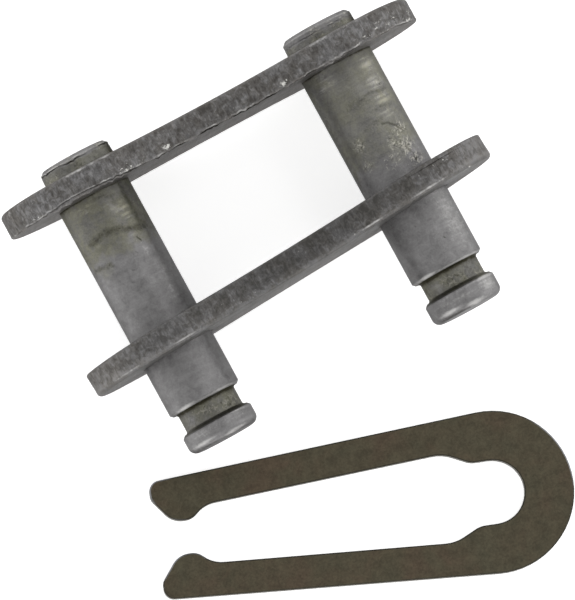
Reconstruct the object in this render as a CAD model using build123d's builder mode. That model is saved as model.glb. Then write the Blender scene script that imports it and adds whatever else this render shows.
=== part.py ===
from build123d import *
import os
from math import acos, asin, atan2, cos, degrees, radians, sin, sqrt

os.makedirs("parts", exist_ok=True)

# Connecting link of a half-inch roller chain, opened for fitting: a plate with two
# pins riveted into it, a loose cover plate part of the way along the pins, and the
# spring clip that locks the cover plate lying beside them.
#
# Frame, in millimetres: X runs from the left pin to the right pin, the pins' free
# ends point along -Y, and Z is up. The origin is midway between the pin axes on the
# inner face of the riveted plate. The plates stand on edge, so the floor is half a
# plate height below the pin axes.

# ---- chain size ----
pitch = 12.70                # between the two pin axes
inside_width = 9.25          # between the plates when the link is closed

# ---- plates: blanked figure-eight strips ----
plate_thickness = 1.20
plate_height = 8.55          # across a lobe
waist_height = 6.65          # across the middle
rim_roll = 0.22              # round that the punch leaves on the outer face's rim
rim_break = 0.06             # small break on the inner face's rim
hole_break = 0.06            # small break at the cover plate's holes

# ---- pins: turned, riveted at one end and grooved at the other ----
pin_diameter = 3.58
head_height = 0.90           # riveted end, proud of the plate
head_top_diameter = 3.50     # the head narrows a little to its rim
head_crown = 0.06            # rise of the head's top at its centre
head_rim_chamfer = 0.17      # the flat that the riveting punch leaves round the top
shoulder_play = 0.29         # from the closed cover plate to the groove
shoulder_chamfer = 0.12
groove_width = 1.00
groove_root = 0.09           # bevel in the groove's two corners
groove_diameter = 2.90
left_cap_length = 0.99       # what is left of the pin past the groove
right_cap_length = 1.13
cap_diameter = 3.52
cap_chamfer = 0.08           # on the cap's side of the groove
cap_round = 0.38             # at the pin's free end

# ---- cover plate: loose on the pins, and askew as far as its holes allow ----
cover_gap = 6.55             # from the riveted plate to the cover plate, midway
hole_play = 0.105            # the cover plate's holes over the pins, in diameter
hole_play_left = 0.020       # part of that play still free at the plate's slant

# ---- spring clip: blanked from spring strip ----
clip_thickness = 0.80
eye_play = 0.03              # round the groove, at the closed end
eye_wall = 2.29              # band of strip round the eye
eye_depth = 0.82             # straight part of the eye before the legs open
shoulder_run = 1.23          # from there to the leg, along the clip
leg_gap = 4.15               # between the legs next to the eye
grip = 0.05                  # how much smaller the hooks' seat is than the groove
throat = 1.55                # between the hooks' noses
nose_reach = 2.13            # from the second pin's axis to where the lead-in begins
hook_reach = 3.01            # from the second pin's axis to the clip's open end
hook_tip_width = 5.46        # across the two legs' outer edges at the open end
hook_lead = 1.93             # from the clip's axis to the corner of the lead-in
tip_outer_round = 0.50
tip_inner_round = 0.50
nose_round = 1.00
nose_back_round = 0.80
leg_round = 1.80
eye_mouth_round = 1.00
clip_edge_break = 0.06

# ---- where the clip lies ----
clip_distance = 7.77         # from the right pin's end to the middle of the eye
clip_offset = 3.53           # from the link's middle to the middle of the eye
clip_turn = 159.85           # direction from the eye to the open end, from X

# ---- worked out ----
floor_z = -plate_height / 2
pin_x = pitch / 2
shoulder_y = inside_width + plate_thickness + shoulder_play
cap_y = shoulder_y + groove_width
left_end_y = cap_y + left_cap_length
right_end_y = cap_y + right_cap_length

# A hole that is larger than its pin by the play lets a plate of this thickness turn
# until play = thickness * angle + pitch * angle ** 2 / 2.
play_used = hole_play - hole_play_left
slant = (sqrt(plate_thickness**2 + 2 * pitch * play_used) - plate_thickness) / pitch


def link_plate(middle, hole_diameter):
    """A plate about its middle plane, whose normal points to the outer face."""
    lobe = plate_height / 2
    waist = waist_height / 2
    # The waist is an arc that touches both lobes.
    waist_radius = (waist**2 + pin_x**2 - lobe**2) / (2 * (lobe - waist))
    share = lobe / (lobe + waist_radius)
    touch_x = pin_x * (1 - share)
    touch_z = (waist + waist_radius) * share
    with BuildPart() as plate:
        with BuildSketch(middle):
            with BuildLine():
                ThreePointArc((-touch_x, touch_z), (0, waist), (touch_x, touch_z))
                ThreePointArc((touch_x, touch_z), (pin_x + lobe, 0), (touch_x, -touch_z))
                ThreePointArc((touch_x, -touch_z), (0, -waist), (-touch_x, -touch_z))
                ThreePointArc((-touch_x, -touch_z), (-pin_x - lobe, 0), (-touch_x, touch_z))
            make_face()
            with Locations((-pin_x, 0), (pin_x, 0)):
                Circle(hole_diameter / 2, mode=Mode.SUBTRACT)
        extrude(amount=plate_thickness / 2, both=True)
        faces_outwards = plate.faces().sort_by(Axis(middle.origin, middle.z_dir))
        inner_rim = faces_outwards[0].outer_wire().edges()
        outer_rim = faces_outwards[-1].outer_wire().edges()
        fillet(outer_rim, min(rim_roll, plate_thickness / 3))
        chamfer(inner_rim, min(rim_break, plate_thickness / 6))
    return plate.part


# ---- fixed plate: the pins are riveted into it ----
fixed_middle = Plane(
    origin=(0, plate_thickness / 2, 0), x_dir=(1, 0, 0), z_dir=(0, 1, 0)
)
fixed_plate = link_plate(fixed_middle, pin_diameter)
fixed_plate.label = "fixed_plate"
export_step(fixed_plate, "parts/fixed_plate.step")

# ---- pins: one turned profile each, from the riveted head to the grooved end ----
for side, x, pin_end_y in (("left_pin", -pin_x, left_end_y), ("right_pin", pin_x, right_end_y)):
    axis = Axis((x, 0, 0), (0, 1, 0))
    shank_r = pin_diameter / 2
    groove_r = groove_diameter / 2
    cap_r = cap_diameter / 2
    head_r = head_top_diameter / 2
    head_y = plate_thickness + head_height - head_crown
    dome_r = (head_r**2 + head_crown**2) / (2 * head_crown)
    dome_angle = degrees(asin(head_r / dome_r))
    with BuildPart() as pin:
        with BuildSketch(Plane(origin=(x, 0, 0), x_dir=(1, 0, 0), z_dir=(0, 0, 1))):
            with BuildLine():
                Polyline(
                    (0, head_y + head_crown),
                    (0, -pin_end_y),
                    (cap_r, -pin_end_y),
                    (cap_r, -cap_y),
                    (groove_r, -cap_y),
                    (groove_r, -shoulder_y),
                    (shank_r, -shoulder_y),
                    (shank_r, plate_thickness),
                    (head_r, head_y),
                )
                CenterArc((0, head_y + head_crown - dome_r), dome_r, 90 - dome_angle, dome_angle)
            make_face()
        revolve(axis=axis)
        rings = pin.edges().filter_by(lambda edge: edge.is_closed).group_by(Axis.Y)
        free_end, cap_rings, shoulder_rings = rings[0], rings[1], rings[2]
        groove_roots = [g.sort_by(SortBy.RADIUS)[0] for g in (cap_rings, shoulder_rings)]
        cap_rim = cap_rings.sort_by(SortBy.RADIUS)[-1]
        shoulder_rim = shoulder_rings.sort_by(SortBy.RADIUS)[-1]
        head_rim = rings[-1]
        fillet(free_end, cap_round)
        chamfer(groove_roots, groove_root)
        chamfer(cap_rim, cap_chamfer)
        chamfer(shoulder_rim, shoulder_chamfer)
        chamfer(head_rim, head_rim_chamfer)
    pin.part.label = side
    export_step(pin.part, f"parts/{side}.step")

# ---- cover plate: slides on the pins ----
cover_middle = Plane(
    origin=(0, -cover_gap - plate_thickness / 2, 0),
    x_dir=(cos(slant), sin(slant), 0),
    z_dir=(sin(slant), -cos(slant), 0),
)
cover_plate = link_plate(cover_middle, pin_diameter + hole_play)
with BuildPart() as cover:
    add(cover_plate)
    hole_rings = cover.edges().filter_by(GeomType.CIRCLE)
    hole_rings = hole_rings.filter_by(lambda ring: ring.radius < (pin_diameter + hole_play) * 0.51)
    chamfer(hole_rings, hole_break)
cover.part.label = "cover_plate"
export_step(cover.part, "parts/cover_plate.step")

# ---- spring clip: half its outline, from the eye's back to the hook and back again ----
eye_r = groove_diameter / 2 + eye_play
eye_outer_r = eye_r + eye_wall
seat_r = groove_diameter / 2 - grip
open_end = pitch + hook_reach

# The leg's outer edge touches the round of the eye and ends at the hook's tip.
tip = Vector(open_end, hook_tip_width / 2)
touch = atan2(tip.Y, tip.X) + acos(eye_outer_r / tip.length)
leg_root = (eye_outer_r * cos(touch), eye_outer_r * sin(touch))

# The hooks' seat runs from the nose's flat to where the leg's inner edge touches it.
leg_start = Vector(eye_depth + shoulder_run, leg_gap / 2)
seat_to_leg = leg_start - Vector(pitch, 0)
seat_start = asin(throat / 2 / seat_r)
seat_end = atan2(seat_to_leg.Y, seat_to_leg.X) - acos(seat_r / seat_to_leg.length)
nose_back = (pitch + seat_r * cos(seat_start), throat / 2)

clip_plane = Plane(
    origin=(clip_offset, -right_end_y - clip_distance, floor_z),
    x_dir=(cos(radians(clip_turn)), sin(radians(clip_turn)), 0),
    z_dir=(0, 0, 1),
)
with BuildPart() as clip:
    with BuildSketch(clip_plane) as outline:
        with BuildLine():
            CenterArc((0, 0), eye_outer_r, degrees(touch), 180 - degrees(touch))
            FilletPolyline(
                leg_root,
                tip,
                (open_end, hook_lead),
                (pitch + nose_reach, throat / 2),
                nose_back,
                radius=[tip_outer_round, tip_inner_round, nose_round],
            )
            CenterArc((pitch, 0), seat_r, degrees(seat_start), degrees(seat_end - seat_start))
            FilletPolyline(
                (pitch + seat_r * cos(seat_end), seat_r * sin(seat_end)),
                leg_start,
                (eye_depth, eye_r),
                (0, eye_r),
                radius=[leg_round, eye_mouth_round],
            )
            CenterArc((0, 0), eye_r, 90, 90)
            Line((-eye_r, 0), (-eye_outer_r, 0))
        make_face()
        fillet(outline.vertices().sort_by_distance(nose_back)[0], nose_back_round)
        mirror(about=Plane.XZ)
    extrude(amount=clip_thickness)
    top_edges = clip.faces().sort_by(Axis.Z)[-1].edges()
    bottom_edges = clip.faces().sort_by(Axis.Z)[0].edges()
    chamfer(top_edges + bottom_edges, min(clip_edge_break, clip_thickness / 4))
clip.part.label = "spring_clip"
export_step(clip.part, "parts/spring_clip.step")
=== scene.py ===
from math import asin, atan2, cos, exp, pi, radians, sin, sqrt

import bmesh
import bpy
from mathutils import Matrix, Vector, noise


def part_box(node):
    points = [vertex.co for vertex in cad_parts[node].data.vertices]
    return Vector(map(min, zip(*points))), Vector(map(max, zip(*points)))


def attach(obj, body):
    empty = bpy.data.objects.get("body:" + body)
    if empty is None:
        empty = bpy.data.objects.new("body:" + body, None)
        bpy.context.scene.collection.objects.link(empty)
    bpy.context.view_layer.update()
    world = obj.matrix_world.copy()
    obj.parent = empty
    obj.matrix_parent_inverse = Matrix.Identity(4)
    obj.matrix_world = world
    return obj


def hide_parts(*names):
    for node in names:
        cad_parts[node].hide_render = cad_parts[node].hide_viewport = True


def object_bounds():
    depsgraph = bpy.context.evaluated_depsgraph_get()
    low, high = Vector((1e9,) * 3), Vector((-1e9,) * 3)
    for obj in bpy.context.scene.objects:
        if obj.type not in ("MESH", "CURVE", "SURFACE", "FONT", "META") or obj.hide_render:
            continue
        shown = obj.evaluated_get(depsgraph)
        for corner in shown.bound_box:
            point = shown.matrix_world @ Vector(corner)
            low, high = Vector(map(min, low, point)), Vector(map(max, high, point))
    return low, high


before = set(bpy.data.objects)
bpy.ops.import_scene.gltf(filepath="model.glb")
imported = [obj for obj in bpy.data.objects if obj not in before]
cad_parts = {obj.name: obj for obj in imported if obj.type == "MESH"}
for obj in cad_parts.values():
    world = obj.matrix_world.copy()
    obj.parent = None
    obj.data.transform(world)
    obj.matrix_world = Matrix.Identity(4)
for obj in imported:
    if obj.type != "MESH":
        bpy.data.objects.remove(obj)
cad_box = [list(corner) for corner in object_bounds()]

# ---------------------------------------------------------------------------------
# Fixed plate: the side plate that both pins are riveted into. It is blanked from
# carbon steel strip, hardened and tumbled, so its faces are smooth and its sheared
# rim is rough, with a torn burr along the inner edge. It bows in a little midway.
# ---------------------------------------------------------------------------------

pitch = 12.70                # sizes are in millimetres; a finished mesh is in metres
plate_thickness = 1.20
plate_height = 8.55
waist_height = 6.65
rim_roll = 0.22              # round that the punch leaves on the outer face's rim
pin_diameter = 3.58
pin_x = pitch / 2
edge_break = 0.06            # small round on the inner face's rim
bow = 0.085                  # how far the outer face is bowed in, midway
inner_bow = 0.4              # how much of that the inner face is bowed
bow_reach = 9.0              # half the length that they are bowed over
along_step = 0.055           # spacing of the mesh along a rim
fine_step = 0.02             # spacing of its rows across the rim, next to the inner edge
row_step = 0.045             # and further out
hole_facets = 96
torn_grain = 0.22            # width of the ridges on a torn rim
plate_marks = ("wear_and_painted_light", "rub_and_highlight", "crack_and_shade", "nick", "torn")

lobe = plate_height / 2
waist = waist_height / 2
waist_radius = (waist**2 + pin_x**2 - lobe**2) / (2 * (lobe - waist))
lobe_share = lobe / (lobe + waist_radius)
touch_x = pin_x * (1 - lobe_share)
touch_z = (waist + waist_radius) * lobe_share


def out_of_rim(point):
    """The direction that points straight out of the plate's rim at this point."""
    if abs(point.x) > touch_x:
        away = Vector((abs(point.x) - pin_x, 0, point.z))
        away.x *= 1 if point.x > 0 else -1
    else:
        side = 1 if point.z > 0 else -1
        away = Vector((-point.x, 0, side * (waist + waist_radius) - point.z))
    return away.normalized()


def carry_round(bm, end, centre, turn):
    """Carries the outline's last point round a centre, as compasses do."""
    steps = max(2, round(abs(turn) * (end.co - centre).length / along_step))
    arc = bmesh.ops.spin(bm, geom=[end], cent=centre, axis=(0, 1, 0), angle=turn, steps=steps)
    return [part for part in arc["geom_last"] if isinstance(part, bmesh.types.BMVert)][0]


def grow(bm, edges, move):
    """Extrudes a ring of edges and moves each new point: returns the new edges and points."""
    grown = bmesh.ops.extrude_edge_only(bm, edges=edges)["geom"]
    points = [part for part in grown if isinstance(part, bmesh.types.BMVert)]
    for point in points:
        point.co += move(point)
    return [part for part in grown if isinstance(part, bmesh.types.BMEdge)], points


def blanked_plate(fine_rows, hole_diameter, hole_break):
    """A plate whose inner face is at y = 0 and outer face beyond it, and its rim's points.
    Their "across" counts from the inner edge: onto the rim, or below zero onto the face."""
    bm = bmesh.new()
    for mark in ("across", *plate_marks):
        bm.verts.layers.float.new(mark)
    across = bm.verts.layers.float["across"]
    lobe_turn = 2 * atan2(touch_z, touch_x - pin_x)
    waist_turn = 2 * asin(touch_x / waist_radius)
    end = bm.verts.new((touch_x, 0, touch_z))
    end = carry_round(bm, end, Vector((pin_x, 0, 0)), lobe_turn)
    end = carry_round(bm, end, Vector((0, 0, -waist - waist_radius)), -waist_turn)
    end = carry_round(bm, end, Vector((-pin_x, 0, 0)), lobe_turn)
    carry_round(bm, end, Vector((0, 0, waist + waist_radius)), -waist_turn)
    bmesh.ops.remove_doubles(bm, verts=bm.verts, dist=0.001)

    # The rows, by depth and inset: the inner face's margin, its broken edge, the sheared
    # band and the rolled outer edge.
    rows = [(0, edge_break + reach) for reach in (0.44, 0.30, 0.19, 0.11, 0.05, 0)]
    rows += [(0.02, 0.03), (0.045, 0.01)]
    rows += [(0.07 + fine_step * step, 0) for step in range(fine_rows)]
    roll_start = plate_thickness - rim_roll
    last = rows[-1][0]
    count = round((roll_start - last) / row_step)
    rows += [(last + (roll_start - last) * (step + 1) / count, 0) for step in range(count)]
    for quarter in (0.15, 0.3, 0.45, 0.6, 0.8, 1.0):
        turn = quarter * pi / 2
        rows.append((roll_start + rim_roll * sin(turn), rim_roll * (1 - cos(turn))))
    rim = list(bm.verts)
    ring = list(bm.edges)
    inner_ring = list(ring)
    y, inset = rows[0]
    for point in rim:
        point.co -= out_of_rim(point.co) * inset
        point[across] = edge_break - inset
    for next_y, next_inset in rows[1:]:
        shift = next_inset - inset
        rise = Vector((0, next_y - y, 0))
        ring, points = grow(bm, ring, lambda point: rise - out_of_rim(point.co) * shift)
        rim += points
        for point in points:
            point[across] = next_y or edge_break - next_inset
        y, inset = next_y, next_inset

    # The two holes, each a short tube between the faces with its edges broken.
    radius = hole_diameter / 2
    inner_edges, outer_edges = inner_ring, list(ring)
    for x in (-pin_x, pin_x):
        turned = Matrix.Translation((x, 0, 0)) @ Matrix.Rotation(pi / 2, 4, "X")
        made = bmesh.ops.create_circle(
            bm, segments=hole_facets, radius=radius + hole_break, matrix=turned
        )
        hole = list({edge for point in made["verts"] for edge in point.link_edges})
        inner_edges += hole
        stations = [(0, radius + hole_break), (hole_break, radius),
                    (plate_thickness - hole_break, radius), (plate_thickness, radius + hole_break)]
        if not hole_break:
            stations = [stations[0], stations[-1]]
        for (y, reach), (next_y, next_reach) in zip(stations, stations[1:]):
            share = next_reach / reach
            hole, points = grow(bm, hole, lambda point: Vector((
                (point.co.x - x) * (share - 1), next_y - y, point.co.z * (share - 1)
            )))
        outer_edges += hole
    bmesh.ops.triangle_fill(bm, use_beauty=True, edges=inner_edges)
    bmesh.ops.triangle_fill(bm, use_beauty=True, edges=outer_edges)
    return bm, rim


def bow_plate(bm, depth):
    """Bows a plate along y midway: its outer face by this depth and its inner face by less."""
    for point in bm.verts:
        sag = max(0.0, 1 - (point.co.x / bow_reach) ** 2)
        point.co.y += depth * sag * (inner_bow + (1 - inner_bow) * point.co.y / plate_thickness)


def torn(point, seed):
    """Roughness of a torn steel edge: short ridges that lean across the thickness."""
    along = out_of_rim(point).cross(Vector((0, 1, 0)))
    leaned = point + along * (0.5 * point.y) + Vector((seed, 0, seed))
    sized = Vector((
        leaned.x / torn_grain, leaned.y / (1.5 * torn_grain), leaned.z / torn_grain
    ))
    ridges = noise.fractal(sized, 0.7, 2.2, 4)
    return 0.8 * ridges + 0.4 * noise.noise(leaned * 9.0)


def hump(distance, width):
    """A smooth bump that is 1 at no distance and fades out over its width."""
    return exp(-(distance / width) ** 2)


def clamp(value):
    """Holds a share between 0 and 1."""
    return max(0.0, min(1.0, value))


def strewn(spots, x, across):
    """How strongly a place lies in any of these spots, by their place, widths and share."""
    return max(
        share * hump(x - spot_x, wide) * hump(across - spot_y, high)
        for spot_x, spot_y, wide, high, share in spots
    )


def finish_piece(bm, name, body, material, node, place=Matrix.Identity(4), sharp=50):
    """Puts a made piece in its place, in metres, and lets it stand for its CAD node."""
    bmesh.ops.transform(bm, matrix=Matrix.Scale(0.001, 4) @ place, verts=bm.verts)
    bmesh.ops.recalc_face_normals(bm, faces=bm.faces)
    for face in bm.faces:
        face.smooth = True
    mesh = bpy.data.meshes.new(name)
    bm.to_mesh(mesh)
    bm.free()
    mesh.set_sharp_from_angle(angle=radians(sharp))
    piece = bpy.data.objects.new(name, mesh)
    bpy.context.scene.collection.objects.link(piece)
    mesh.materials.append(material)
    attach(piece, body)
    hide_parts(node)


def srgb(code):
    """Turns an sRGB hex colour to the linear values that a shader takes."""
    levels = [int(code[start:start + 2], 16) / 255 for start in (1, 3, 5)]
    return [v / 12.92 if v <= 0.04045 else ((v + 0.055) / 1.055) ** 2.4 for v in levels] + [1]


def add(tree, kind, inputs=None, **settings):
    """Adds a node, makes its settings and fills its inputs with values or links."""
    node = tree.nodes.new(kind)
    for name, value in settings.items():
        setattr(node, name, value)
    for key, value in (inputs or {}).items():
        if isinstance(value, bpy.types.NodeSocket):
            tree.links.new(value, node.inputs[key])
        else:
            node.inputs[key].default_value = value
    return node


def clear_tree(block):
    """Gives a material or a world an empty node tree and returns the tree."""
    block.use_nodes = True
    block.node_tree.nodes.clear()
    return block.node_tree


def plate_steel(name, turn, scuffed, dark, middle, light, face):
    """Hardened carbon steel with the grey of its heat treatment still on: even and dull
    on its faces, blotched and streaked where it was torn, bright where it is rubbed and
    where highlights are painted, and with painted light and shade along its rim."""
    material = bpy.data.materials.new(name)
    tree = clear_tree(material)
    place = add(tree, "ShaderNodeTexCoord").outputs["Object"]
    # From here on, patterns are sized in millimetres along the plate's own axes.
    place = add(tree, "ShaderNodeMapping", {
        "Vector": place, "Rotation": (0, 0, -turn), "Scale": (1000, 1000, 1000),
    }).outputs["Vector"]
    wear_and_painted_light, rub_and_highlight, crack_and_shade, nick, torn_rim = [
        add(tree, "ShaderNodeAttribute", attribute_name=mark).outputs["Fac"]
        for mark in plate_marks
    ]
    # Clouds of 1.6 mm, mottling of 0.34 mm, grit of 0.09 mm and crumbs of 0.13 mm.
    cloud, mottle, grit, crumb = [
        add(tree, "ShaderNodeTexNoise", {
            "Vector": place, "Scale": 1 / size, "Detail": detail, "Roughness": 0.62,
            "Distortion": bend,
        }).outputs["Fac"]
        for size, detail, bend in ((1.6, 4.0, 0.3), (0.34, 5.0, 0.9), (0.09, 3.0, 0), (0.13, 2.0, 0.5))
    ]
    # Short streaks lean across the rim, 0.12 mm wide and 0.4 mm long. Faint long ones from
    # the strip's grinding run up the faces, some 0.25 mm and others 0.10 mm wide.
    streak, scuff, scratch = [
        add(tree, "ShaderNodeTexNoise", {
            "Vector": add(tree, "ShaderNodeMapping", {
                "Vector": place, "Rotation": lean, "Scale": [1 / size for size in sizes],
            }).outputs["Vector"],
            "Scale": 1.0, "Detail": 4.0, "Roughness": 0.62, "Distortion": 0.7,
        }).outputs["Fac"]
        for lean, sizes in (
            ((0, 0, radians(35)), (0.12, 0.4, 0.12)),
            ((0, radians(7), 0), (0.25, 0.5, 5.0)),
            ((0, radians(10), 0), (0.10, 0.3, 1.6)),
        )
    ]
    # The rim's grey follows its torn ridges, and its wear mark also carries painted shade midway and
    # painted light at the ends.
    height = add(tree, "ShaderNodeMath", {0: mottle, 1: 0.40}, operation="MULTIPLY").outputs[0]
    for share, part in ((0.28, streak), (0.16, cloud), (0.16, grit), (0.16, wear_and_painted_light)):
        height = add(tree, "ShaderNodeMath", {
            0: part, 1: share, 2: height,
        }, operation="MULTIPLY_ADD").outputs[0]
    low = add(tree, "ShaderNodeMapRange", {
        "Value": height, "From Min": 0.475, "From Max": 0.585,
    }).outputs["Result"]
    high = add(tree, "ShaderNodeMapRange", {
        "Value": height, "From Min": 0.585, "From Max": 0.71,
    }).outputs["Result"]
    colour = add(tree, "ShaderNodeMix", {
        "Factor": low, "A": srgb(dark), "B": srgb(middle),
    }, data_type="RGBA").outputs["Result"]
    colour = add(tree, "ShaderNodeMix", {
        "Factor": high, "A": colour, "B": srgb(light),
    }, data_type="RGBA").outputs["Result"]
    # The faces: a more even grey with scuffs, faint clouds and grit.
    even = add(tree, "ShaderNodeMath", {0: cloud, 1: grit}, operation="ADD").outputs[0]
    for share, part in ((0.7, scuff), (0.5, scratch)):
        even = add(tree, "ShaderNodeMath", {
            0: part, 1: share, 2: even,
        }, operation="MULTIPLY_ADD").outputs[0]
    even = add(tree, "ShaderNodeMath", {0: even, 1: 1.60}, operation="SUBTRACT").outputs[0]
    even = add(tree, "ShaderNodeMath", {
        0: even, 1: scuffed, 2: 0.5,
    }, operation="MULTIPLY_ADD", use_clamp=True).outputs[0]
    smooth = add(tree, "ShaderNodeMix", {
        "Factor": even, "A": srgb(dark), "B": srgb(face),
    }, data_type="RGBA").outputs["Result"]
    colour = add(tree, "ShaderNodeMix", {
        "Factor": torn_rim, "A": smooth, "B": colour,
    }, data_type="RGBA").outputs["Result"]
    # A faint heat tint, here brown and there blue.
    tint = add(tree, "ShaderNodeMath", {0: cloud, 1: mottle}, operation="ADD").outputs[0]
    tint = add(tree, "ShaderNodeMapRange", {
        "Value": tint, "From Min": 0.85, "From Max": 1.15,
    }).outputs["Result"]
    tint = add(tree, "ShaderNodeMix", {
        "Factor": tint, "A": srgb("#fffbf6"), "B": srgb("#fbfbfd"),
    }, data_type="RGBA").outputs["Result"]
    colour = add(tree, "ShaderNodeMix", {
        "Factor": 1.0, "A": colour, "B": tint,
    }, data_type="RGBA", blend_type="MULTIPLY").outputs["Result"]
    # Rubbed edges with painted highlights, crumbs of bare steel, and the dirt and painted shade in the
    # cracks, each frayed by crumbs.
    for mark, fray, start, end, tone in (
        (rub_and_highlight, 0.9, 0.30, 0.95, "#b4b3b1"),
        (nick, 2.2, 0.50, 0.80, "#d2d1cc"),
        (crack_and_shade, 0.8, 0.30, 1.05, "#1f1d1a"),
    ):
        frayed = add(tree, "ShaderNodeMath", {
            0: crumb, 1: fray, 2: mark,
        }, operation="MULTIPLY_ADD").outputs[0]
        frayed = add(tree, "ShaderNodeMapRange", {
            "Value": frayed, "From Min": start + fray / 2, "From Max": end + fray / 2,
        }).outputs["Result"]
        colour = add(tree, "ShaderNodeMix", {
            "Factor": frayed, "A": colour, "B": srgb(tone),
        }, data_type="RGBA").outputs["Result"]
    rough = add(tree, "ShaderNodeMapRange", {
        "Value": grit, "From Min": 0.3, "From Max": 0.7, "To Min": 0.40, "To Max": 0.60,
    }).outputs["Result"]
    bump = add(tree, "ShaderNodeBump", {
        "Height": grit, "Strength": 1.0, "Distance": 0.000014,
    }).outputs["Normal"]
    steel = add(tree, "ShaderNodeBsdfPrincipled", {
        "Base Color": colour, "Metallic": 0.85, "Roughness": rough, "Normal": bump,
        "Specular Tint": srgb("#b0b0b0"),
    })
    add(tree, "ShaderNodeOutputMaterial", {"Surface": steel.outputs["BSDF"]})
    return material


fixed, rim = blanked_plate(fine_rows=20, hole_diameter=pin_diameter, hole_break=0)
across = fixed.verts.layers.float["across"]
wear_and_painted_light, rub_and_highlight, crack_and_shade, nick, torn_rim = [fixed.verts.layers.float[mark] for mark in plate_marks]
# Where the upper rim is knocked and crumbled, and where its outer edge is rubbed bright and
# carries painted highlights, with painted light at both tips: place along the plate, place
# across the rim, their two widths and a share.
knocks = [
    (-2.55, 0.20, 0.24, 0.12, 1.0), (-2.35, 0.33, 0.07, 0.06, 0.5), (3.52, 0.20, 0.17, 0.12, 1.0),
    (3.72, 0.26, 0.06, 0.07, 0.7), (-5.55, 0.10, 0.45, 0.08, 0.50), (-4.60, 0.13, 0.45, 0.11, 0.62),
    (-4.20, 0.06, 0.30, 0.06, 0.5), (-4.80, 0.26, 0.28, 0.09, 0.52), (-3.90, 0.14, 0.25, 0.09, 0.48),
    (-7.00, 0.36, 0.45, 0.05, 0.40), (6.60, -0.02, 0.65, 0.06, 0.50),
    (7.90, 0.24, 0.30, 0.12, 0.50), (8.55, 0.38, 0.14, 0.08, 0.55), (8.80, 0.60, 0.25, 0.07, 0.55),
    (9.15, 0.28, 0.22, 0.09, 0.52), (9.50, 0.50, 0.20, 0.08, 0.56), (9.90, 0.26, 0.18, 0.08, 0.50),
    (10.20, 0.10, 0.25, 0.09, 0.62), (10.35, 0.45, 0.10, 0.20, 0.54), (7.45, 0.10, 0.20, 0.07, 0.50),
    (0.50, 0.00, 5.00, 0.04, 0.30), (-9.20, 0.12, 1.00, 0.05, 0.30),
]
rubbed = [
    (-6.90, 1.12, 0.70, 0.07, 0.90), (-5.60, 1.12, 0.70, 0.06, 0.80), (-3.60, 1.10, 0.6, 0.05, 0.45),
    (-1.80, 1.10, 0.6, 0.05, 0.45), (0.60, 1.10, 0.9, 0.05, 0.45), (2.60, 1.10, 0.5, 0.05, 0.40),
    (5.80, 1.11, 0.8, 0.08, 0.85), (7.10, 1.12, 0.5, 0.05, 0.60), (8.20, 1.10, 0.6, 0.05, 0.60),
    (9.70, 1.08, 0.5, 0.05, 0.50), (-9.60, 1.10, 0.6, 0.05, 0.45), (-10.30, 1.00, 0.25, 0.14, 0.45),
    (10.40, 0.70, 0.4, 0.50, 0.30),
]
for point in fixed.verts:
    point[wear_and_painted_light] = 0.5
for point in rim:
    spot = point.co.copy()
    away = out_of_rim(spot)
    t = point[across]
    run = Vector((spot.x, 0, spot.z))
    rough = torn(spot, seed=3.1)
    # The burr's lip stands out from the inner edge, and a crack wanders along above it, darkened with dirt
    # and painted shade.
    lip = clamp(0.50 + 0.9 * noise.noise(run * 0.55) + 0.5 * noise.noise(run * 2.6))
    lip *= clamp((9.2 - spot.x) / 1.5) * (0.1 + 0.9 * clamp(spot.z / 1.5))
    crack_t = 0.02 + 0.05 * noise.noise(run * 0.7 + Vector((11, 3, 4)))
    crack_t += 0.035 * noise.noise(run * 4.5) + 0.11 * hump(spot.x + 6.9, 1.3)
    opened = 0.75 + 1.2 * noise.noise(run * 1.2 + Vector((5, 7, 0))) + 0.5 * hump(spot.x + 6.5, 1.6)
    opened = clamp(opened)
    below = hump(t - crack_t, 0.028) * opened * (0.55 + 0.45 * hump(spot.x - 0.5, 5.5))
    ridge = hump(t - crack_t - 0.050, 0.040) * opened
    fin = hump(t + 0.015, 0.075) * lip
    onto = clamp(t / 0.1)
    edge = clamp((t - plate_thickness + rim_roll) / rim_roll)
    crumble = worn = 0.0
    if spot.z > 0:
        crumble = strewn(knocks, spot.x, t)
        worn = strewn(rubbed, spot.x, t) * (0.8 + 0.8 * noise.noise(run * 2.2))
    # The crack and the crumbled places go a few hundredths of a millimetre deep, and the lip
    # stands out by up to a tenth.
    lift = 0.008 * rough * onto * (1 - 0.7 * edge) + 0.010 * ridge - 0.028 * below - 0.010 * onto
    lift -= 0.030 * crumble * (1 + 1.6 * noise.noise(spot * 7)) * onto
    point.co += away * min(lift, 0.0)
    point.co.y -= 0.085 * fin * (1 + 0.9 * noise.noise(spot * 5)) + 0.02 * crumble * (1 - onto)
    # The face keeps its even 0.5, and the rim is a little darker midway, which is painted shade.
    point[wear_and_painted_light] = 0.5 + 0.32 * rough + 0.35 * ridge - 0.12 * hump(spot.x, 5.0)
    point[wear_and_painted_light] += (1 - onto) * (0.5 - point[wear_and_painted_light])
    # The outer edge's bright lengths, the crest above the crack and the burr's fin are partly rubbed bare
    # and partly painted highlights.
    point[rub_and_highlight] = worn + 0.62 * ridge * (0.85 + 1.1 * noise.noise(run * 3)) + 0.45 * fin * (1 - onto)
    point[crack_and_shade] = 1.5 * below
    point[nick] = crumble
    point[torn_rim] = onto * (1 - 0.6 * edge)
bow_plate(fixed, -bow)
fixed_steel = plate_steel(
    "heat_treated_steel", turn=0, scuffed=1.3,
    dark="#474645", middle="#636261", light="#898887", face="#878583",
)
finish_piece(fixed, "riveted_plate", "pin_link", fixed_steel, "fixed_plate")

# ---------------------------------------------------------------------------------
# Pins: turned from alloy steel, case-hardened and ground, pressed through the fixed
# plate and riveted over behind it. The free end has a groove for the clip. A film of
# old oil has dried on them, and the chain's bushes have rubbed and galled them.
# ---------------------------------------------------------------------------------

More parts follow.
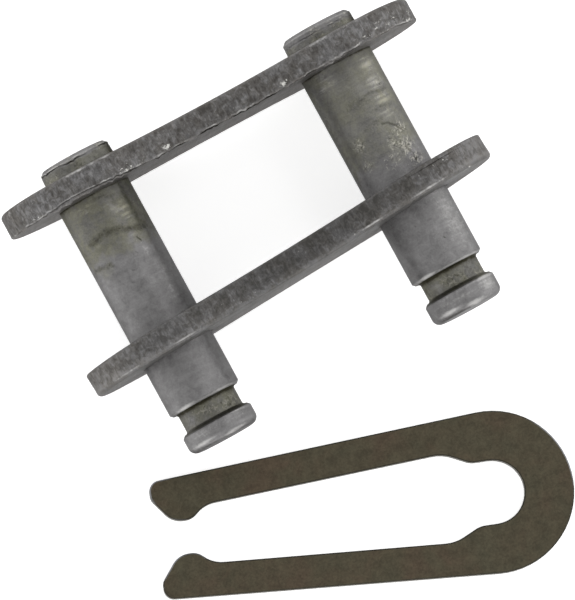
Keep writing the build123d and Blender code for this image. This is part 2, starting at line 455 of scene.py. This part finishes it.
head_height = 0.90
head_top_diameter = 3.50
head_crown = 0.06
head_rim_chamfer = 0.17
groove_start = 10.74         # from the fixed plate's inner face
shoulder_chamfer = 0.12
groove_width = 1.00
groove_diameter = 2.90
groove_root = 0.09
cap_diameter = 3.52
cap_chamfer = 0.13
left_cap_length = 0.99
right_cap_length = 1.13
cap_round = 0.38
pin_facets = 220
cap_round_facets = 12
pin_marks = ("film", "dark", "rub_and_highlight", "gall")

shank_r = pin_diameter / 2
groove_r = groove_diameter / 2
cap_r = cap_diameter / 2
head_r = head_top_diameter / 2
head_y = plate_thickness + head_height - head_crown
cap_y = groove_start + groove_width


def draw_run(bm, end, to, step):
    """Draws a straight run of a profile in short steps and returns its last point."""
    start = end.co.copy()
    count = max(1, round((to - start).length / step))
    for part in range(1, count + 1):
        point = bm.verts.new(start.lerp(to, part / count))
        bm.edges.new((end, point))
        end = point
    return end


def turned_pin(x, pin_end):
    """A pin turned from its profile, which goes from the head's middle to the free end."""
    bm = bmesh.new()
    for mark in pin_marks:
        bm.verts.layers.float.new(mark)
    end = bm.verts.new((x, head_y + head_crown, 0))
    # Each run of the profile ends at this radius and y, and has points this far apart.
    for radius, y, step in (
        (head_r - head_rim_chamfer, head_y, 0.3),
        (head_r, head_y - head_rim_chamfer, 0.03),
        (shank_r, plate_thickness, 0.03),
        (shank_r, -groove_start + shoulder_chamfer, 0.06),
        (shank_r - shoulder_chamfer, -groove_start, 0.06),
        (groove_r + groove_root, -groove_start, 0.06),
        (groove_r, -groove_start - groove_root, 0.05),
        (groove_r, -cap_y + groove_root, 0.05),
        (groove_r + groove_root, -cap_y, 0.05),
        (cap_r - cap_chamfer, -cap_y, 0.06),
        (cap_r, -cap_y - cap_chamfer, 0.06),
        (cap_r, -pin_end + cap_round, 0.06),
    ):
        end = draw_run(bm, end, Vector((x + radius, y, 0)), step)
    middle = Vector((x + cap_r - cap_round, -pin_end + cap_round, 0))
    arc = bmesh.ops.spin(
        bm, geom=[end], cent=middle, axis=(0, 0, 1), angle=-pi / 2, steps=cap_round_facets
    )
    end = [part for part in arc["geom_last"] if isinstance(part, bmesh.types.BMVert)][0]
    draw_run(bm, end, Vector((x, -pin_end, 0)), 0.3)
    bmesh.ops.spin(
        bm, geom=bm.verts[:] + bm.edges[:], cent=(x, 0, 0), axis=(0, 1, 0),
        angle=2 * pi, steps=pin_facets, use_merge=True,
    )
    bmesh.ops.remove_doubles(bm, verts=bm.verts, dist=0.0005)
    return bm


def off_path(place, path):
    """How far a place lies from a path of straight runs."""
    gaps = []
    for start, end in zip(path, path[1:]):
        run = Vector(end) - Vector(start)
        share = clamp((place - Vector(start)).dot(run) / run.length_squared)
        gaps.append((Vector(start) + run * share - place).length)
    return min(gaps)


def pin_steel(name, x, shift):
    """Ground alloy steel: satin and a little blue where it is clean, olive and duller under
    the dried film of oil, light where it is rubbed and where highlights are painted, dark with
    dirt and painted shade in places, and pitted where it is galled."""
    material = bpy.data.materials.new(name)
    tree = clear_tree(material)
    place = add(tree, "ShaderNodeTexCoord").outputs["Object"]
    # In millimetres from the pin's axis, and from a place of its own in the patterns.
    place = add(tree, "ShaderNodeMapping", {
        "Vector": place, "Location": (shift - x, 0, -shift), "Scale": (1000, 1000, 1000),
    }).outputs["Vector"]
    film, dark, rub_and_highlight, gall = [
        add(tree, "ShaderNodeAttribute", attribute_name=mark).outputs["Fac"]
        for mark in pin_marks
    ]
    # Clouds of 1.2 mm, mottling of 0.4 mm, grit of 0.08 mm and crumbs of 0.15 mm.
    cloud, mottle, grit, crumb = [
        add(tree, "ShaderNodeTexNoise", {
            "Vector": place, "Scale": 1 / size, "Detail": detail, "Roughness": 0.62,
            "Distortion": bend,
        }).outputs["Fac"]
        for size, detail, bend in ((1.2, 4.0, 0.4), (0.4, 4.0, 0.8), (0.08, 3.0, 0), (0.15, 2.0, 0.8))
    ]
    # Grinding and rubbing lines run round the pin, 0.15 mm apart.
    ringed = add(tree, "ShaderNodeMapping", {
        "Vector": place, "Scale": (1 / 1.3, 1 / 0.15, 1 / 1.3),
    }).outputs["Vector"]
    lines = add(tree, "ShaderNodeTexNoise", {
        "Vector": ringed, "Scale": 1.0, "Detail": 3.0, "Roughness": 0.6, "Distortion": 0.3,
    }).outputs["Fac"]
    tone = mottle
    for share, part in ((0.5, grit), (0.7, cloud), (0.3, lines)):
        tone = add(tree, "ShaderNodeMath", {
            0: part, 1: share, 2: tone,
        }, operation="MULTIPLY_ADD").outputs[0]
    tone = add(tree, "ShaderNodeMapRange", {
        "Value": tone, "From Min": 0.94, "From Max": 1.56,
    }).outputs["Result"]
    colour = add(tree, "ShaderNodeMix", {
        "Factor": tone, "A": srgb("#636262"), "B": srgb("#878686"),
    }, data_type="RGBA").outputs["Result"]
    # The film is thick and olive in patches, and thin enough between them to see the steel.
    oil = add(tree, "ShaderNodeMix", {
        "Factor": tone, "A": srgb("#555449"), "B": srgb("#7f7e73"),
    }, data_type="RGBA").outputs["Result"]
    patch = add(tree, "ShaderNodeMath", {0: cloud, 1: mottle}, operation="ADD").outputs[0]
    patch = add(tree, "ShaderNodeMapRange", {
        "Value": patch, "From Min": 0.80, "From Max": 1.15, "To Min": 0.45, "To Max": 1.25,
    }).outputs["Result"]
    film = add(tree, "ShaderNodeMath", {
        0: film, 1: patch,
    }, operation="MULTIPLY", use_clamp=True).outputs[0]
    colour = add(tree, "ShaderNodeMix", {
        "Factor": film, "A": colour, "B": oil,
    }, data_type="RGBA").outputs["Result"]
    # Rubbed places, some of them painted highlights, show their lines and are creamier where
    # the film was, galled ones are frayed into crumbs and pits, and the dark marks are dirt
    # and painted shade.
    bare_and_highlight_tone = add(tree, "ShaderNodeMix", {
        "Factor": film, "A": srgb("#bdbcba"), "B": srgb("#adaa96"),
    }, data_type="RGBA").outputs["Result"]
    lined = add(tree, "ShaderNodeMath", {0: lines, 1: crumb}, operation="ADD").outputs[0]
    pits = add(tree, "ShaderNodeMath", {0: 1.0, 1: crumb}, operation="SUBTRACT").outputs[0]
    for mark, fray, amount, start, end, strength, bare in (
        (rub_and_highlight, crumb, 0.3, 0.25, 1.60, 0.55, bare_and_highlight_tone),
        (rub_and_highlight, lined, 1.3, 1.60, 2.50, 0.60, bare_and_highlight_tone),
        (gall, crumb, 2.4, 1.62, 2.10, 0.75, srgb("#b8b5ab")),
        (gall, pits, 2.4, 1.70, 2.15, 0.75, srgb("#36342c")),
        (dark, crumb, 0.9, 0.60, 1.35, 0.92, srgb("#2a281b")),
    ):
        frayed = add(tree, "ShaderNodeMath", {
            0: fray, 1: amount, 2: mark,
        }, operation="MULTIPLY_ADD").outputs[0]
        frayed = add(tree, "ShaderNodeMapRange", {
            "Value": frayed, "From Min": start, "From Max": end, "To Max": strength,
        }).outputs["Result"]
        there = add(tree, "ShaderNodeMapRange", {
            "Value": mark, "From Min": 0.02, "From Max": 0.20,
        }).outputs["Result"]
        frayed = add(tree, "ShaderNodeMath", {0: frayed, 1: there}, operation="MULTIPLY").outputs[0]
        colour = add(tree, "ShaderNodeMix", {
            "Factor": frayed, "A": colour, "B": bare,
        }, data_type="RGBA").outputs["Result"]
    rough = add(tree, "ShaderNodeMapRange", {
        "Value": mottle, "From Min": 0.3, "From Max": 0.7, "To Min": 0.38, "To Max": 0.50,
    }).outputs["Result"]
    bump = add(tree, "ShaderNodeBump", {
        "Height": lines, "Strength": 1.0, "Distance": 0.000007,
    }).outputs["Normal"]
    bump = add(tree, "ShaderNodeBump", {
        "Height": grit, "Strength": 1.0, "Distance": 0.000007, "Normal": bump,
    }).outputs["Normal"]
    steel = add(tree, "ShaderNodeBsdfPrincipled", {
        "Base Color": colour, "Metallic": 0.92, "Roughness": rough, "Normal": bump,
        "Specular Tint": srgb("#b0b0b0"),
    })
    add(tree, "ShaderNodeOutputMaterial", {"Surface": steel.outputs["BSDF"]})
    return material


# Marks on each pin's upper side, by their place across the pin, from -1 at its left side
# to 1 at its right, and along it in millimetres. A stroke, of dirt along the pin and of
# painted shade along its two sides and across the cap's end, has a width, a share and a
# path. A rubbed or galled spot has its place, its two widths and a share; the rubbed spots
# are partly wear and partly painted highlights and light, those on the shoulder's and
# cap's edges wholly. The oil's film ends this far along the pin, slanted by its lean, and
# the lip is on the riveted head.
left_marks = {
    "film_end": -3.25, "film_lean": -0.25, "film_share": 1.0, "head_lip": 0.60, "lip_share": 0.85,
    "dirt_and_shade_strokes": [
        (0.22, 0.58, ((-0.70, -1.95), (-0.25, -1.85), (0.10, -2.00), (0.40, -2.25), (0.75, -2.35))),
        (0.14, 0.50, ((0.66, 0.00), (0.68, -0.90), (0.66, -2.35))),
        (0.30, 0.45, ((0.98, 0.00), (0.98, -2.60))),
        (0.20, 0.25, ((-0.98, 0.00), (-0.98, -3.40))),
        (0.18, 0.50, ((-0.90, -3.15), (-0.50, -3.30))),
        (0.06, 0.80, ((0.42, -2.72), (0.46, -2.95))),
        (0.05, 0.50, ((0.20, -3.30), (0.24, -3.38))),
        (0.04, 0.50, ((-0.10, -3.95), (-0.06, -4.02))),
        (0.16, 0.35, ((0.10, -0.30), (0.36, -0.55), (0.30, -1.00))),
        (0.04, 0.40, ((-0.20, -8.20), (-0.12, -8.28))),
        (0.10, 0.38, ((-0.80, -12.69), (-0.25, -12.71))),
    ],
    "rubs_and_highlights": [
        (0.47, -0.92, 0.12, 0.07, 0.60), (0.48, -1.22, 0.15, 0.08, 0.75), (0.43, -1.52, 0.14, 0.07, 0.75),
        (0.46, -1.72, 0.12, 0.06, 0.60), (0.30, -2.02, 0.10, 0.10, 0.50), (0.38, -2.45, 0.12, 0.18, 0.55),
        (0.42, -1.40, 0.22, 0.60, 0.22), (0.28, -1.05, 0.20, 0.28, 0.50), (0.46, -3.30, 0.10, 0.40, 0.40),
        (-0.55, -0.40, 0.45, 0.32, 0.42), (0.10, -0.80, 0.15, 0.20, 0.30), (0.55, -5.00, 0.20, 2.20, 0.22),
        (-0.58, -10.66, 0.26, 0.07, 1.50), (0.25, -10.69, 0.80, 0.05, 0.75),
        (-0.62, -12.50, 0.26, 0.08, 1.10), (0.35, -12.62, 0.30, 0.06, 0.80),
        (0.60, -11.88, 0.35, 0.06, 0.80), (-0.50, -12.15, 0.70, 0.40, 0.30),
        (0.40, -12.10, 0.60, 0.30, 0.25), (0.16, -12.71, 0.20, 0.10, 1.20),
    ],
    "galls": [(0.44, -2.85, 0.10, 0.25, 0.40), (0.80, -1.20, 0.15, 0.90, 0.25)],
}
right_marks = {
    "film_end": -5.30, "film_lean": 0.0, "film_share": 0.75, "head_lip": 0.45, "lip_share": 0.35,
    "dirt_and_shade_strokes": [
        (0.17, 0.34, ((-0.98, 0.00), (-0.96, -3.00), (-0.98, -5.80))),
        (0.12, 0.22, ((0.30, -1.20), (0.50, -1.27), (0.78, -1.22))),
        (0.10, 0.42, ((0.05, -2.10), (0.35, -2.00), (0.60, -2.10), (0.80, -2.05))),
        (0.10, 0.30, ((0.25, -2.85), (0.50, -2.75), (0.72, -2.85))),
        (0.28, 0.30, ((-0.25, -2.10), (0.15, -2.20))),
        (0.22, 0.28, ((-0.20, -3.45), (0.30, -3.30))),
        (0.07, 0.62, ((0.24, -3.50), (0.36, -3.58), (0.50, -3.75), (0.60, -4.00), (0.66, -4.15))),
        (0.06, 0.50, ((0.52, -4.90), (0.55, -5.25))),
        (0.05, 0.60, ((0.24, -9.43), (0.27, -9.50))),
        (0.04, 0.45, ((-0.30, -8.40), (-0.27, -8.46))),
        (0.06, 0.70, ((0.00, -11.20), (0.14, -11.30))),
        (0.10, 0.48, ((-0.80, -12.83), (-0.25, -12.85))),
    ],
    "rubs_and_highlights": [
        (0.61, -0.42, 0.20, 0.06, 0.55), (0.63, -0.74, 0.22, 0.15, 1.00), (0.60, -1.00, 0.20, 0.07, 0.75),
        (0.58, -1.42, 0.20, 0.08, 0.70), (0.60, -1.66, 0.24, 0.12, 0.85), (0.60, -1.88, 0.20, 0.06, 0.60),
        (0.54, -2.32, 0.22, 0.08, 0.75), (0.58, -2.56, 0.22, 0.11, 0.85), (0.57, -1.40, 0.28, 1.20, 0.35),
        (-0.55, -0.60, 0.35, 0.70, 0.40), (0.48, -3.10, 0.20, 0.10, 0.50), (0.46, -3.28, 0.18, 0.08, 0.45),
        (0.50, -4.70, 0.35, 0.90, 0.25), (0.66, -8.60, 0.30, 1.80, 0.45), (-0.62, -10.67, 0.24, 0.07, 1.60),
        (0.30, -10.70, 0.90, 0.05, 0.85), (-0.55, -12.62, 0.24, 0.08, 1.30),
        (0.14, -12.74, 0.24, 0.09, 1.30), (0.68, -11.90, 0.28, 0.08, 1.20),
        (0.68, -12.20, 0.22, 0.32, 0.75), (-0.30, -12.20, 0.80, 0.40, 0.30),
        (-0.50, -11.25, 0.25, 0.35, 0.45), (0.18, -12.85, 0.20, 0.08, 1.10),
    ],
    "galls": [
        (0.64, -4.05, 0.18, 0.32, 0.64), (0.50, -4.95, 0.26, 0.60, 0.56), (0.60, -5.60, 0.24, 0.40, 0.60),
        (-0.52, -3.95, 0.22, 0.40, 0.48), (0.30, -4.60, 0.28, 0.70, 0.42), (-0.60, -4.90, 0.15, 0.50, 0.40),
        (0.05, -5.30, 0.30, 0.50, 0.36), (0.70, -2.00, 0.12, 1.20, 0.30),
    ],
}
for side, x, cap_length, seed, marks in (
    ("left", -pin_x, left_cap_length, 2.0, left_marks),
    ("right", pin_x, right_cap_length, 7.0, right_marks),
):
    pin = turned_pin(x, cap_y + cap_length)
    film, dark, rub_and_highlight, gall = [pin.verts.layers.float[mark] for mark in pin_marks]
    for point in pin.verts:
        spot = point.co.copy()
        away = Vector((spot.x - x, 0, spot.z))
        if away.length < 0.01:
            continue
        y, reach = spot.y, away.length
        away.normalize()
        ring = away * 2.2 + Vector((seed, 0, seed))
        wobble = noise.noise(spot * 1.1) + 0.5 * noise.noise(spot * 3.5)
        across_x = (spot.x - x) / shank_r
        if y > plate_thickness:
            # The riveting hammer folded a thin lip over the head's side.
            lip_y = plate_thickness + marks["head_lip"] + 0.07 * noise.noise(ring * 0.8)
            lip_y += 0.06 * noise.noise(ring * 3) + 0.03 * noise.noise(ring * 8)
            folded = marks["lip_share"] * clamp(0.8 + 1.2 * noise.noise(ring * 0.9))
            below = clamp((lip_y - y) / 0.10)
            if reach > head_r - 0.2:
                under = hump(y - lip_y, 0.032) * folded
                over = hump(y - lip_y - 0.065, 0.050) * folded
                rough = noise.fractal(spot * 3, 0.8, 2.2, 3)
                point.co += away * min(0.0, 0.020 * over - 0.045 * under - 0.012 + 0.014 * rough)
                # The crease under the lip is darkened with dirt and painted shade, and the head's foot next
                # to the plate with painted shade; the lip's crest is rubbed light and the head's rim edge
                # has a painted highlight.
                point[dark] = 0.85 * under + 0.45 * hump(y - plate_thickness, 0.09)
                point[rub_and_highlight] = 0.70 * over + 0.50 * hump(y - head_y + head_rim_chamfer, 0.05)
                point[gall] = 0.40 * clamp(0.2 + 1.5 * wobble)
            point[film] = 0.05 + 0.60 * below + 0.4 * wobble
            # The head's right side is darkened with painted shade.
            point[dark] += 0.22 * below + 0.75 * hump((spot.x - x) / head_r - 1.0, 0.14)
        elif y > -groove_start + 0.02:
            # The film frays out where it ends, and next to the plate the pin is darkened with painted
            # shade.
            end = marks["film_end"] - marks["film_lean"] * across_x + 0.9 * wobble
            point[film] = marks["film_share"] * clamp((y - end) / 0.55) * clamp(0.85 + 0.5 * wobble)
            if y > -0.6:
                point[dark] = 0.95 * clamp((y + 0.11 + 0.05 * wobble) / 0.09)
        else:
            # The dried oil in the groove reaches onto the cap's bevel.
            oily_r = cap_r if y < -cap_y + 0.3 else cap_r - cap_chamfer
            in_groove = clamp((oily_r - reach) / 0.1) if y > -cap_y - cap_chamfer else 0.0
            point[film] = in_groove * clamp(0.75 + 0.7 * wobble)
            # The groove is darkened all over and most in its two corners, partly by dried oil and partly
            # with painted shade in the recess.
            corner = max(hump(y + groove_start + 0.06, 0.12), 0.5 * hump(y + cap_y + 0.03, 0.09))
            point[dark] = in_groove * (0.34 + 0.66 * corner * clamp(1.0 + 0.5 * wobble))
            point[gall] = 0.42 * in_groove * (1 - corner) * clamp(0.7 + 1.5 * wobble)
        if spot.z > 0 and y < plate_thickness and reach > groove_r - 0.02:
            place = Vector((spot.x - x, y)) + 0.07 * Vector((noise.noise(spot * 4), wobble))
            for width, share, path in marks["dirt_and_shade_strokes"]:
                if path[-1][1] - 0.5 < y < path[0][1] + 0.5:
                    gap = off_path(place, [(along * shank_r, far) for along, far in path])
                    point[dark] = max(point[dark], share * hump(gap, width))
            point[rub_and_highlight] = strewn(marks["rubs_and_highlights"], across_x, y)
            point[gall] = max(point[gall], strewn(marks["galls"], across_x, y))
            rough = noise.fractal(spot * 5, 0.8, 2.2, 3)
            point.co -= away * point[gall] * (0.010 + 0.022 * rough)
    steel = pin_steel(f"oiled_ground_steel_{side}", x, shift=seed)
    finish_piece(pin, f"{side}_riveted_pin", "pin_link", steel, f"{side}_pin", sharp=35)

# ---------------------------------------------------------------------------------
# Cover plate: the loose side plate, blanked like the fixed one. Its two holes clear
# the pins, and it hangs a little askew on them. Its rim is torn and dark nearly to the
# outer edge, which is rubbed bright in lengths and given painted highlights, and it bows
# out a little midway.
# ---------------------------------------------------------------------------------

cover_gap = 6.55             # from the fixed plate to this one, midway
hole_play = 0.105            # its holes over the pins, in diameter
hole_break = 0.06
slant = radians(3.145)       # nearly as far as the play lets it turn

cover, rim = blanked_plate(fine_rows=8, hole_diameter=pin_diameter + hole_play, hole_break=hole_break)
across = cover.verts.layers.float["across"]
wear_and_painted_light, rub_and_highlight, crack_and_shade, nick, torn_rim = [cover.verts.layers.float[mark] for mark in plate_marks]
# As for the fixed plate: rubbed lengths of the outer edge, which carry painted highlights, with painted
# light at both tips, and knocks on the upper rim.
rubbed = [
    (-9.20, 1.05, 0.85, 0.045, 0.85), (-5.90, 1.06, 1.15, 0.045, 0.85), (-2.60, 1.05, 0.9, 0.045, 0.40),
    (4.00, 1.06, 0.90, 0.045, 0.85), (7.00, 1.06, 0.95, 0.045, 1.00), (0.80, 1.05, 1.2, 0.045, 0.35),
    (8.60, 0.40, 0.9, 0.035, 0.45), (9.20, 0.55, 0.7, 0.03, 0.35), (10.40, 0.60, 0.3, 0.40, 0.30),
    (-10.30, 0.60, 0.3, 0.50, 0.30),
]
knocks = [(9.25, 1.17, 0.14, 0.05, 0.8), (-3.10, 0.95, 0.15, 0.07, 0.35), (8.20, 0.30, 0.8, 0.06, 0.35)]
for point in cover.verts:
    point[wear_and_painted_light] = 0.5
for point in rim:
    spot = point.co.copy()
    away = out_of_rim(spot)
    t = point[across]
    run = Vector((spot.x, 0, spot.z))
    rough = torn(spot, seed=8.7)
    # The torn band's border, and a crack that opens near the right end and here and there, darkened with
    # dirt and painted shade.
    band_t = 0.93 + 0.07 * noise.noise(spot * 0.9) + 0.05 * noise.noise(spot * 4)
    torn_share = clamp((band_t - t) / 0.22)
    onto = clamp(t / 0.1)
    crack_t = 0.20 + 0.03 * noise.noise(run * 1.5)
    opened = hump(spot.x - 8.0, 1.9) if spot.z < 0 else clamp(1.5 * noise.noise(run * 0.6) - 0.2)
    below = hump(t - crack_t, 0.035) * opened
    lift = torn_share * onto * (0.009 * rough - 0.012) - 0.030 * below + 0.002 * rough
    point.co += away * min(lift, 0.0)
    # Darkest midway with painted shade, lighter round both ends with painted light, most at the right, and
    # lighter along the torn band's border.
    point[wear_and_painted_light] = 0.66 + torn_share * (0.18 * rough - 0.16) - 0.40 * hump(spot.x - 0.5, 5.0)
    point[wear_and_painted_light] += (0.28 if spot.x < 0 else 0.38) * clamp((abs(spot.x) - 7.8) / 2.0)
    point[wear_and_painted_light] += 0.22 * hump(t - 1.0, 0.18)
    point[wear_and_painted_light] += clamp((t - 1.12) / 0.08) * (0.5 - point[wear_and_painted_light])
    # The bright lengths along the outer edge are partly rubbed bare and partly painted highlights.
    if spot.z < 0:
        point[rub_and_highlight] = strewn(rubbed, spot.x, t) * (0.9 + 0.7 * noise.noise(run * 2.5))
        point[nick] = strewn(knocks, spot.x, t)
    else:
        point[rub_and_highlight] = 0.6 * hump(t - 1.06, 0.045) * clamp(0.3 + 1.5 * noise.noise(run * 0.7))
    point[crack_and_shade] = 0.9 * below
    point[torn_rim] = onto * clamp((1.12 - t) / 0.12)
bow_plate(cover, bow)
place_cover = (
    Matrix.Translation((0, -cover_gap - plate_thickness / 2, 0))
    @ Matrix.Rotation(slant, 4, "Z")
    @ Matrix.Rotation(pi, 4, "X")
    @ Matrix.Translation((0, -plate_thickness / 2, 0))
)
cover_steel = plate_steel(
    "heat_treated_cover_steel", turn=slant, scuffed=1.0,
    dark="#434342", middle="#5b5a59", light="#7e7d7c", face="#828180",
)
finish_piece(
    cover, "loose_plate", "cover", cover_steel, "cover_plate", place=place_cover
)

# ---------------------------------------------------------------------------------
# Spring clip: blanked from 0.8 mm spring strip and tempered in oil, which left it
# an even olive brown with a fine matt grain. It has been taken off and lies flat.
# ---------------------------------------------------------------------------------

clip_material = bpy.data.materials.new("oil_tempered_spring_steel")
tree = clear_tree(clip_material)
place = add(tree, "ShaderNodeTexCoord").outputs["Object"]
place = add(tree, "ShaderNodeMapping", {
    "Vector": place, "Scale": (1000, 1000, 1000),
}).outputs["Vector"]
# Temper tints of 4 mm, 1.3 mm and 0.5 mm, and a grain of 0.12 mm.
wide, tint, fleck, grain = [
    add(tree, "ShaderNodeTexNoise", {
        "Vector": place, "Scale": 1 / size, "Detail": detail, "Roughness": 0.6, "Distortion": 0.5,
    }).outputs["Fac"]
    for size, detail in ((4.0, 1.0), (1.3, 3.0), (0.5, 4.0), (0.12, 3.0))
]
tinted = add(tree, "ShaderNodeMath", {0: wide, 1: tint}, operation="ADD").outputs[0]
tinted = add(tree, "ShaderNodeMath", {0: tinted, 1: 0.5}, operation="MULTIPLY").outputs[0]
colour = add(tree, "ShaderNodeValToRGB", {"Fac": tinted})
ramp = colour.color_ramp.elements
ramp.new(0.5)
for stop, place_on, tone in zip(ramp, (0.38, 0.50, 0.62), ("#4a4638", "#4b4537", "#4e4437")):
    stop.position = place_on
    stop.color = srgb(tone)
shade = add(tree, "ShaderNodeMath", {0: fleck, 1: grain}, operation="ADD").outputs[0]
shade = add(tree, "ShaderNodeMapRange", {
    "Value": shade, "From Min": 0.75, "From Max": 1.25, "To Min": 0.79, "To Max": 1.27,
}).outputs["Result"]
colour = add(tree, "ShaderNodeMix", {
    "Factor": 1.0, "A": colour.outputs["Color"], "B": shade,
}, data_type="RGBA", blend_type="MULTIPLY").outputs["Result"]
# The faces that turn from straight up, along the broken edges, are darker the steeper they
# turn. The edges are rubbed to a bluish grey at the back of the eye and on both tips:
# each place is given with how far it reaches.
facing = add(tree, "ShaderNodeNewGeometry").outputs["Normal"]
facing = add(tree, "ShaderNodeSeparateXYZ", {"Vector": facing}).outputs["Z"]
tilted = add(tree, "ShaderNodeMapRange", {
    "Value": facing, "From Min": 0.97, "From Max": 0.85,
}).outputs["Result"]
steep_darkened = add(tree, "ShaderNodeMapRange", {
    "Value": facing, "From Min": 0.1, "From Max": 0.6, "To Min": 0.35, "To Max": 0.75,
}).outputs["Result"]
steep_darkened = add(tree, "ShaderNodeMath", {0: steep_darkened, 1: tilted}, operation="MULTIPLY").outputs[0]
colour = add(tree, "ShaderNodeMix", {
    "Factor": steep_darkened, "A": colour, "B": srgb("#26251c"),
}, data_type="RGBA").outputs["Result"]
clip_top = 1000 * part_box("spring_clip")[1][2]
worn = 0.0
for x, y, reach in ((7.2, -20.3, 1.9), (-10.6, -16.1, 1.6), (-10.1, -12.9, 0.9)):
    gap = add(tree, "ShaderNodeVectorMath", {
        0: place, 1: (x, y, clip_top),
    }, operation="DISTANCE").outputs["Value"]
    near = add(tree, "ShaderNodeMapRange", {
        "Value": gap, "From Min": reach, "From Max": 0.6 * reach, "To Max": 0.85,
    }).outputs["Result"]
    worn = add(tree, "ShaderNodeMath", {0: worn, 1: near}, operation="MAXIMUM").outputs[0]
worn = add(tree, "ShaderNodeMath", {0: tilted, 1: worn}, operation="MULTIPLY").outputs[0]
colour = add(tree, "ShaderNodeMix", {
    "Factor": worn, "A": colour, "B": srgb("#7c7d80"),
}, data_type="RGBA").outputs["Result"]
bump = add(tree, "ShaderNodeBump", {
    "Height": grain, "Strength": 0.6, "Distance": 0.00001,
}).outputs["Normal"]
steel = add(tree, "ShaderNodeBsdfPrincipled", {
    "Base Color": colour, "Metallic": 0.8, "Roughness": 0.5, "Normal": bump,
})
add(tree, "ShaderNodeOutputMaterial", {"Surface": steel.outputs["BSDF"]})
clip_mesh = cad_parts["spring_clip"].data
clip_mesh.materials.clear()
clip_mesh.materials.append(clip_material)

# ---------------------------------------------------------------------------------
# Floor: one plain sheet of white card under the plates' edges and the clip. It glows a
# little, so that it stays nearly white where the link shades it.
# ---------------------------------------------------------------------------------

floor_half = 1.5             # metres, from its middle to its edges
floor_gap = 0.00001          # metres, so that no piece lies in its surface

floor_mesh = bmesh.new()
bmesh.ops.create_grid(floor_mesh, x_segments=1, y_segments=1, size=floor_half)
bmesh.ops.translate(floor_mesh, verts=floor_mesh.verts, vec=(0, 0, cad_box[0][2] - floor_gap))
mesh = bpy.data.meshes.new("floor")
floor_mesh.to_mesh(mesh)
floor_mesh.free()
floor = bpy.data.objects.new("floor", mesh)
bpy.context.scene.collection.objects.link(floor)
paper = bpy.data.materials.new("white_card")
tree = clear_tree(paper)
card = add(tree, "ShaderNodeBsdfPrincipled", {
    "Base Color": srgb("#fafafa"), "Roughness": 0.9,
    "Emission Color": srgb("#ffffff"), "Emission Strength": 0.60,
})
add(tree, "ShaderNodeOutputMaterial", {"Surface": card.outputs["BSDF"]})
mesh.materials.append(paper)

# ---------------------------------------------------------------------------------
# Light: a bright sky, a little brighter towards the horizon, and three soft square lamps:
# high on the right, at the front on the left, and low on the right.
# ---------------------------------------------------------------------------------

scene = bpy.context.scene
scene.view_settings.view_transform = "Standard"
world = bpy.data.worlds.new("studio")
scene.world = world
tree = clear_tree(world)
above = add(tree, "ShaderNodeTexCoord").outputs["Generated"]
above = add(tree, "ShaderNodeSeparateXYZ", {"Vector": above}).outputs["Z"]
strength = add(tree, "ShaderNodeMapRange", {
    "Value": above, "From Min": 0.05, "From Max": 0.85, "To Min": 1.16, "To Max": 0.86,
}).outputs["Result"]
sky = add(tree, "ShaderNodeBackground", {"Color": srgb("#ffffff"), "Strength": strength})
add(tree, "ShaderNodeOutputWorld", {"Surface": sky.outputs["Background"]})

link_middle = Vector((0, -0.008, 0))
for name, from_x, from_y, from_z, size, power in (
    ("right_lamp", 0.42, 0.10, 0.80, 0.22, 0.42),
    ("front_lamp", -0.45, -0.60, 0.65, 0.40, 1.2),
    ("side_lamp", 0.75, -0.25, 0.30, 0.40, 0.85),
):
    lamp = bpy.data.lights.new(name, "AREA")
    lamp.shape = "SQUARE"
    lamp.size = size
    lamp.energy = power
    holder = bpy.data.objects.new(name, lamp)
    holder.location = link_middle + Vector((from_x, from_y, from_z))
    holder.rotation_euler = (link_middle - holder.location).to_track_quat("-Z", "Y").to_euler()
    scene.collection.objects.link(holder)

# ---------------------------------------------------------------------------------
# Camera: far off and nearly overhead, so that upright sides show only as thin strips,
# and turned so that the link lies across the frame.
# ---------------------------------------------------------------------------------

aim = Vector((-0.000809, -0.008483, 0))      # metres
distance = 0.7285
lean_x, lean_y = radians(-4.0396), radians(-2.9411)
roll = radians(28.4225)
pixels_per_mm = 21.733       # at the aim point
frame_height = 600           # pixels, the frame's longer side
sensor = 36.0                # mm, along the longer side

back = Vector((sin(lean_x), sin(lean_y), sqrt(1 - sin(lean_x) ** 2 - sin(lean_y) ** 2)))
level = (Vector((1, 0, 0)) - back * back.x).normalized()
upright = back.cross(level)
right = level * cos(roll) - upright * sin(roll)
up = level * sin(roll) + upright * cos(roll)
lens = bpy.data.cameras.new("camera")
lens.sensor_width = sensor
lens.lens = pixels_per_mm * 1000 * distance * sensor / frame_height
camera = bpy.data.objects.new("camera", lens)
turn = Matrix((right, up, back)).transposed()
camera.matrix_world = Matrix.Translation(aim + back * distance) @ turn.to_4x4()
scene.collection.objects.link(camera)
scene.camera = camera
